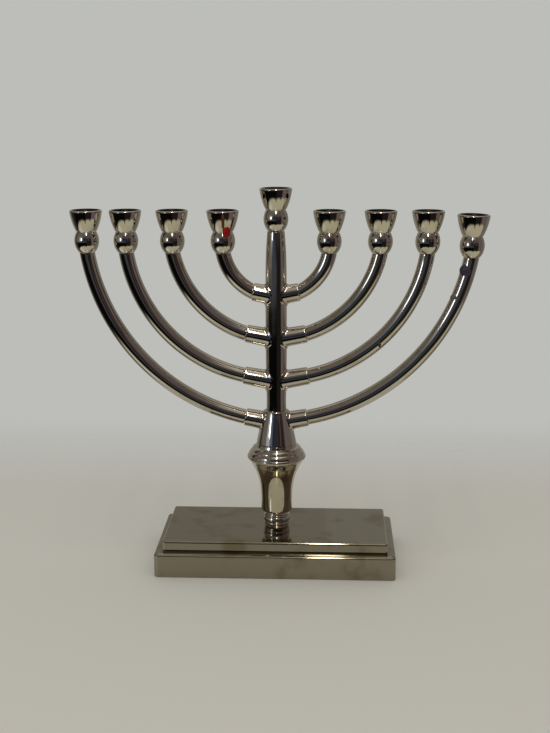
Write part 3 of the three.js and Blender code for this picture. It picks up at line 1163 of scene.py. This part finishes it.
@dataclass(frozen=True)
class RoomPanel:
    """A soft-edged part of the room that the metal mirrors, by direction from the menorah.

    Angles are in degrees. Azimuth is 0 towards the front and grows to the right.
    """

    name: str
    colour: str
    azimuths: tuple[float, float]
    elevations: tuple[float, float]
    softness: float = 6.0
    brightness: float = 1.0
    ragged: bool = False

    def lay_over(
        self,
        tree: bpy.types.NodeTree,
        azimuth: bpy.types.NodeSocket,
        elevation: bpy.types.NodeSocket,
        ragged_elevation: bpy.types.NodeSocket,
        under: bpy.types.NodeSocket,
    ) -> bpy.types.NodeSocket:
        """Adds the nodes that lay the panel over what is there already.

        Args:
            tree: The world's node tree.
            azimuth: The direction's azimuth in radians.
            elevation: The direction's elevation in radians.
            ragged_elevation: The same, with lumps that make an edge uneven.
            under: The colour of the room so far.

        Returns:
            The colour with the panel on it.
        """
        height = ragged_elevation if self.ragged else elevation
        mask = soft_mask(tree, [
            (angle, math.radians(edge - sign * self.softness), math.radians(edge + sign * self.softness))
            for angle, edges in ((azimuth, self.azimuths), (height, self.elevations))
            for edge, sign in zip(edges, (1, -1))
        ])
        mask.node.label = self.name
        light = [channel * self.brightness for channel in linear(self.colour)]
        return add_node(tree, "Mix", {
            "Factor": mask, "A": under, "B": light,
        }, data_type="RGBA").outputs["Result"]


# The room as the mirror finish shows it, from the far parts to the near ones.
ROOM_PANELS = (
    RoomPanel("wall behind, left", "8f8d86", (-200, -128), (-60, 60), 14),
    RoomPanel("wall behind, right", "96958f", (140, 200), (-60, 60), 14),
    RoomPanel("grey wall on the right", "7d7975", (100, 150), (-32, 62), 8),
    RoomPanel("mauve wall on the right", "6c6264", (54, 106), (-32, 62), 6),
    RoomPanel("mauve wall in front", "5f5557", (-30, 56), (12, 62), 8),
    RoomPanel("grey wall on the left", "6e6966", (-96, -22), (2, 62), 8),
    RoomPanel("ceiling", "6e6865", (-200, 200), (60, 100), 9),
    RoomPanel("open door on the left", "33291f", (-114, -100), (-14, 34), 4),
    RoomPanel("dim room in front", "2b3340", (-26, 8), (-8, 20), 6),
    RoomPanel("dark curtain", "332a2b", (6, 54), (-8, 17), 4),
    RoomPanel("light fold of the curtain", "554c4d", (25, 31), (-8, 17), 2),
    RoomPanel("blue-grey panel by the window", "66727f", (-40, -25), (-2, 24), 4),
    RoomPanel("dark furniture", "0a0a0b", (-92, 48), (-60, -9), 3),
    RoomPanel("dark furniture on the right", "221f20", (8, 55), (-30, 0), 3),
    RoomPanel("blue light on the furniture", "434957", (-45, -7), (-10, 1), 3),
    RoomPanel("skirting on the left", "322d29", (-112, -84), (-60, -6), 7),
    RoomPanel("pale table", "bbb8a2", (-88, 86), (-100, -34), 3, ragged=True),
    RoomPanel("gap at the table's far edge", "1c1815", (2, 8), (-41, -30), 2),
    RoomPanel("light on the table's left end", "d2d4cc", (-88, -44), (-75, -39), 9, ragged=True),
    RoomPanel("glow round the window", "b4bcc8", (-62, -40), (-1, 20), 4),
    RoomPanel("ceiling behind, left", "c9c2bc", (-200, -96), (52, 100), 7),
    RoomPanel("ceiling behind, right", "c9c2bc", (96, 200), (52, 100), 7),
    RoomPanel("ceiling by the lamp", "f7f2ea", (-32, 85), (65, 100), 9, brightness=0.85),
    RoomPanel("ceiling in front of the lamp", "b3ada4", (-20, 30), (42, 75), 8),
)


@dataclass(frozen=True)
class Lamp:
    """A rectangular lamp: its middle, the point it faces and its size in millimetres, and its watts."""

    name: str
    place: tuple[float, float, float]
    target: tuple[float, float, float]
    size: tuple[float, float]
    colour: str
    power: float

    def build(self) -> None:
        """Hangs the lamp."""
        data = bpy.data.lights.new(self.name, "AREA")
        data.shape = "RECTANGLE"
        data.size, data.size_y = (length * MM for length in self.size)
        data.color = linear(self.colour)[:3]
        data.energy = self.power
        lamp = bpy.data.objects.new(self.name, data)
        place = Vector(self.place)
        turn = (Vector(self.target) - place).normalized().to_track_quat("-Z", "Y")
        lamp.matrix_world = Matrix.Translation(place * MM) @ turn.to_matrix().to_4x4()
        bpy.context.scene.collection.objects.link(lamp)


# A long lamp overhead and a squarer one at the front left.
LAMPS = (
    Lamp("overhead lamp", (29, -560, 1150), (29, -60, 110), (50, 1100), "fffaf0", 2.2),
    Lamp("window lamp", (-820, -860, 340), (0, 0, 180), (175, 290), "e6efff", 0.72),
)


@dataclass
class Studio:
    """The floor, the lamps, the room that the metal mirrors, and the camera.

    Each pair of the floor's distances is where it starts to fade and where it is gone. Nearer than
    floor_mirrored the metal mirrors the floor, and past it the room.
    """

    floor_colour: str = "e3e0d5"
    floor_half_width: tuple[float, float] = (330.0, 520.0)
    floor_front: tuple[float, float] = (205.0, 275.0)
    floor_back: tuple[float, float] = (90.0, 300.0)
    floor_mirrored: tuple[float, float] = (135.0, 175.0)
    backdrop: str = "bdbeba"
    wall_colour: str = "74706c"
    lump_scale: float = 2.4
    lump_height: float = 0.055
    lump_span: tuple[float, float] = (0.3, 0.7)
    table_tilt: float = 0.03
    fill: str = "bcbcbc"
    camera_place: tuple[float, float, float] = (28.82, -639.27, 269.49)
    camera_azimuth: float = 2.649
    camera_elevation: float = 13.543
    camera_roll: float = -0.173
    camera_clip: float = 10.0
    focal_pixels: float = 1158.03
    long_side_pixels: int = 733

    def build(self) -> None:
        """Builds the whole studio."""
        self._camera()
        self._floor()
        for lamp in LAMPS:
            lamp.build()
        self._room()
        bpy.context.scene.view_settings.view_transform = "Standard"

    def _camera(self) -> None:
        """Sets the camera to the view that was fitted to the photograph."""
        data = bpy.data.cameras.new("camera")
        data.lens = self.focal_pixels / self.long_side_pixels * data.sensor_width
        data.clip_start = self.camera_clip * MM
        azimuth, elevation, roll = map(
            math.radians, (self.camera_azimuth, self.camera_elevation, self.camera_roll)
        )
        turn = (
            Matrix.Rotation(azimuth, 4, "Z") @ Matrix.Rotation(math.pi / 2 - elevation, 4, "X")
            @ Matrix.Rotation(roll, 4, "Z")
        )
        camera = bpy.data.objects.new("camera", data)
        camera.matrix_world = Matrix.Translation(Vector(self.camera_place) * MM) @ turn
        bpy.context.scene.collection.objects.link(camera)
        bpy.context.scene.camera = camera

    def _floor(self) -> None:
        """Lays a wide pale floor whose edges fade into the backdrop."""
        bm = bmesh.new()
        bmesh.ops.create_grid(bm, x_segments=1, y_segments=1, size=0.5)
        front, back, reach = self.floor_front[1], self.floor_back[1], self.floor_half_width[1]
        bmesh.ops.scale(bm, vec=Vector((2 * reach, front + back, 1)) * MM, verts=bm.verts)
        bmesh.ops.translate(bm, vec=(0, (back - front) / 2 * MM, 0), verts=bm.verts)
        mesh = bpy.data.meshes.new("floor")
        bm.to_mesh(mesh)
        bm.free()
        mesh.materials.append(self._board())
        floor = bpy.data.objects.new("floor", mesh)
        bpy.context.scene.collection.objects.link(floor)

    def _board(self) -> bpy.types.Material:
        """Makes the floor's painted board.

        Returns:
            The material, clear where the floor fades and, in the metal, where the room takes over.
        """
        material, tree = blank_material("painted board")
        place = add_node(tree, "TexCoord").outputs["Object"]
        axes = add_node(tree, "SeparateXYZ", {0: place}).outputs
        aside = add_node(tree, "Math", {0: axes["X"]}, operation="ABSOLUTE").outputs[0]
        toward = add_node(tree, "Math", {0: axes["Y"], 1: -1.0}, operation="MULTIPLY").outputs[0]
        away = add_node(tree, "VectorMath", {0: place}, operation="LENGTH").outputs["Value"]
        plain, near = (
            soft_mask(tree, [(distance, gone * MM, whole * MM) for distance, (whole, gone) in fades])
            for fades in (
                [(aside, self.floor_half_width), (toward, self.floor_front), (axes["Y"], self.floor_back)],
                [(away, self.floor_mirrored)],
            )
        )
        mirrored = add_node(tree, "LightPath").outputs["Is Glossy Ray"]
        cover = add_node(tree, "Mix", {"Factor": mirrored, "A": plain, "B": near}).outputs["Result"]
        board = add_node(tree, "BsdfPrincipled", {
            "Base Color": linear(self.floor_colour), "Roughness": 0.7, "Specular IOR Level": 0.2,
            "Coat Weight": mirrored, "Coat Roughness": 0.06,
        })
        clear = add_node(tree, "BsdfTransparent")
        mixed = add_node(tree, "MixShader", {0: cover, 1: clear.outputs["BSDF"], 2: board.outputs["BSDF"]})
        add_node(tree, "OutputMaterial", {"Surface": mixed.outputs["Shader"]})
        return material

    def _room(self) -> None:
        """Makes the world: what the metal mirrors, the plain backdrop and an even fill for the floor."""
        world = bpy.data.worlds.new("room")
        world.use_nodes = True
        bpy.context.scene.world = world
        tree = world.node_tree
        tree.nodes.clear()
        way = add_node(tree, "TexCoord").outputs["Generated"]
        axes = add_node(tree, "SeparateXYZ", {0: way}).outputs
        toward = add_node(tree, "Math", {0: axes["Y"], 1: -1.0}, operation="MULTIPLY").outputs[0]
        azimuth = add_node(tree, "Math", {0: axes["X"], 1: toward}, operation="ARCTAN2").outputs[0]
        elevation = add_node(tree, "Math", {0: axes["Z"]}, operation="ARCSINE").outputs[0]
        lumps = add_node(tree, "TexNoise", {"Vector": way, "Scale": self.lump_scale, "Detail": 1.5})
        shift = add_node(tree, "MapRange", {
            "Value": lumps.outputs["Fac"], "From Min": self.lump_span[0], "From Max": self.lump_span[1],
            "To Min": -self.lump_height, "To Max": self.lump_height,
        }).outputs["Result"]
        ragged = add_node(tree, "Math", {0: elevation, 1: shift}, operation="ADD").outputs[0]
        ragged = add_node(tree, "Math", {
            0: azimuth, 1: -self.table_tilt, 2: ragged,
        }, operation="MULTIPLY_ADD").outputs[0]
        room = add_node(tree, "RGB").outputs[0]
        room.default_value = linear(self.wall_colour)
        for panel in ROOM_PANELS:
            room = panel.lay_over(tree, azimuth, elevation, ragged, room)
        rays = add_node(tree, "LightPath")
        for kind, colour in (("Is Camera Ray", self.backdrop), ("Is Diffuse Ray", self.fill)):
            room = add_node(tree, "Mix", {
                "Factor": rays.outputs[kind], "A": room, "B": linear(colour),
            }, data_type="RGBA").outputs["Result"]
        light = add_node(tree, "Background", {"Color": room, "Strength": 1.0})
        add_node(tree, "OutputWorld", {"Surface": light.outputs["Background"]})


def main() -> None:
    """Builds the menorah's pieces in order, then the studio."""
    logging.basicConfig(level=logging.INFO, format="%(message)s")
    nickel = POLISHED_NICKEL.build()
    base = Base(SATIN_NICKEL.build())
    base.build()
    column = Column(nickel, WORN_NICKEL.build(), foot_start=base.top)
    sockets = Sockets(column)
    column.build(sockets)
    arms = Arms(nickel, sockets)
    arms.build()
    # The wells' lining paints soot and the shade in the deep wells.
    Cups(nickel, SOOT_AND_SHADE_NICKEL.build()).build(arms.cup_places())
    WaxDrops().build()
    Fastenings(TURNED_STEEL.build()).dress(frame["nodes"])
    Studio().build()


if __name__ == "__main__":
    main()
